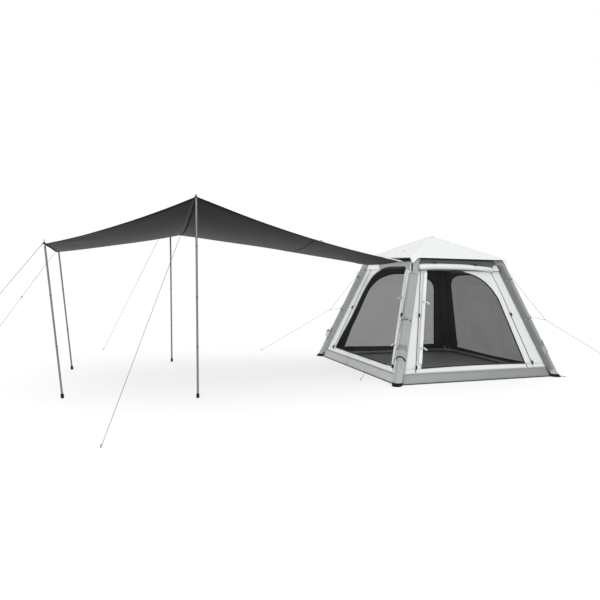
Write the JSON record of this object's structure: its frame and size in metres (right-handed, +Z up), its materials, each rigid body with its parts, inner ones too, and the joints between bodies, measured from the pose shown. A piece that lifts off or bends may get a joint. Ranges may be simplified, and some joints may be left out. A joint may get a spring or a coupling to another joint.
{
  "type": "camping tent",
  "caption": "Square inflatable-frame camping tent with a pyramid roof, open doorways, netted windows and a wide sagging awning held up on slim poles and guy lines",
  "frame": {"origin": "Middle of the tent floor's underside, on the ground, midway between the four beam feet.", "axes": "+Z is up. +X runs from the awning side to the far side of the tent. +Y runs from the front door to the back wall, so the front door faces -Y and the awning and the side door face -X."},
  "size_m": [9.3835, 5.9838, 2.4353],
  "materials": {
    "white_fabric": "coated woven polyester, off-white with a faint green tint",
    "grey_sleeve": "woven sleeve over the inflated beams, mid grey",
    "black_rubber": "moulded foot, matte black",
    "grey_skirt": "coated ripstop, mid grey",
    "dark_header": "woven band, dark grey",
    "black_mesh": "fine black insect netting",
    "floor_fabric": "coated groundsheet, near black",
    "black_awning": "coated awning cloth, matte black",
    "pole_steel": "grey coated steel tube",
    "guy_cord": "braided cord, grey",
    "white_webbing": "flat woven strap, white"
  },
  "bodies": {
    "root": {"air_beam_back_left": "grey_sleeve", "air_beam_back_right": "grey_sleeve", "air_beam_front_left": "grey_sleeve", "air_beam_front_right": "grey_sleeve", "awning_canopy": "black_awning", "awning_guy_end_back": "guy_cord", "awning_guy_end_front": "guy_cord", "awning_guy_ridge_back": "guy_cord", "awning_guy_ridge_front": "guy_cord", "awning_strap_back": "white_webbing", "awning_strap_front": "white_webbing", "beam_foot_back_left": "black_rubber", "beam_foot_back_right": "black_rubber", "beam_foot_front_left": "black_rubber", "beam_foot_front_right": "black_rubber", "corner_guy_back_left": "guy_cord", "corner_guy_back_right": "guy_cord", "corner_guy_front_right": "guy_cord", "crown_hub": "grey_sleeve", "end_pole_back": "pole_steel", "end_pole_front": "pole_steel", "header_back": "dark_header", "header_front": "dark_header", "header_left": "dark_header", "header_right": "dark_header", "ridge_pole_back": "pole_steel", "ridge_pole_front": "pole_steel", "rolled_door_front": "white_fabric", "rolled_door_left": "white_fabric", "rolled_flap_back": "white_fabric", "rolled_flap_front": "white_fabric", "rolled_flap_right": "white_fabric", "roof_fly": "white_fabric", "sill_front": "white_fabric", "sill_left": "white_fabric", "skirt_back": "grey_skirt", "skirt_front": "grey_skirt", "skirt_left": "grey_skirt", "skirt_right": "grey_skirt", "tent_floor": "floor_fabric", "valve_pouch": "grey_sleeve", "wall_back": "white_fabric", "wall_front_curved_side": "white_fabric", "wall_front_hinge_side": "white_fabric", "wall_left_curved_side": "white_fabric", "wall_left_hinge_side": "white_fabric", "wall_right": "white_fabric", "window_mesh_back": "black_mesh", "window_mesh_right": "black_mesh"}
  },
  "joints": []
}
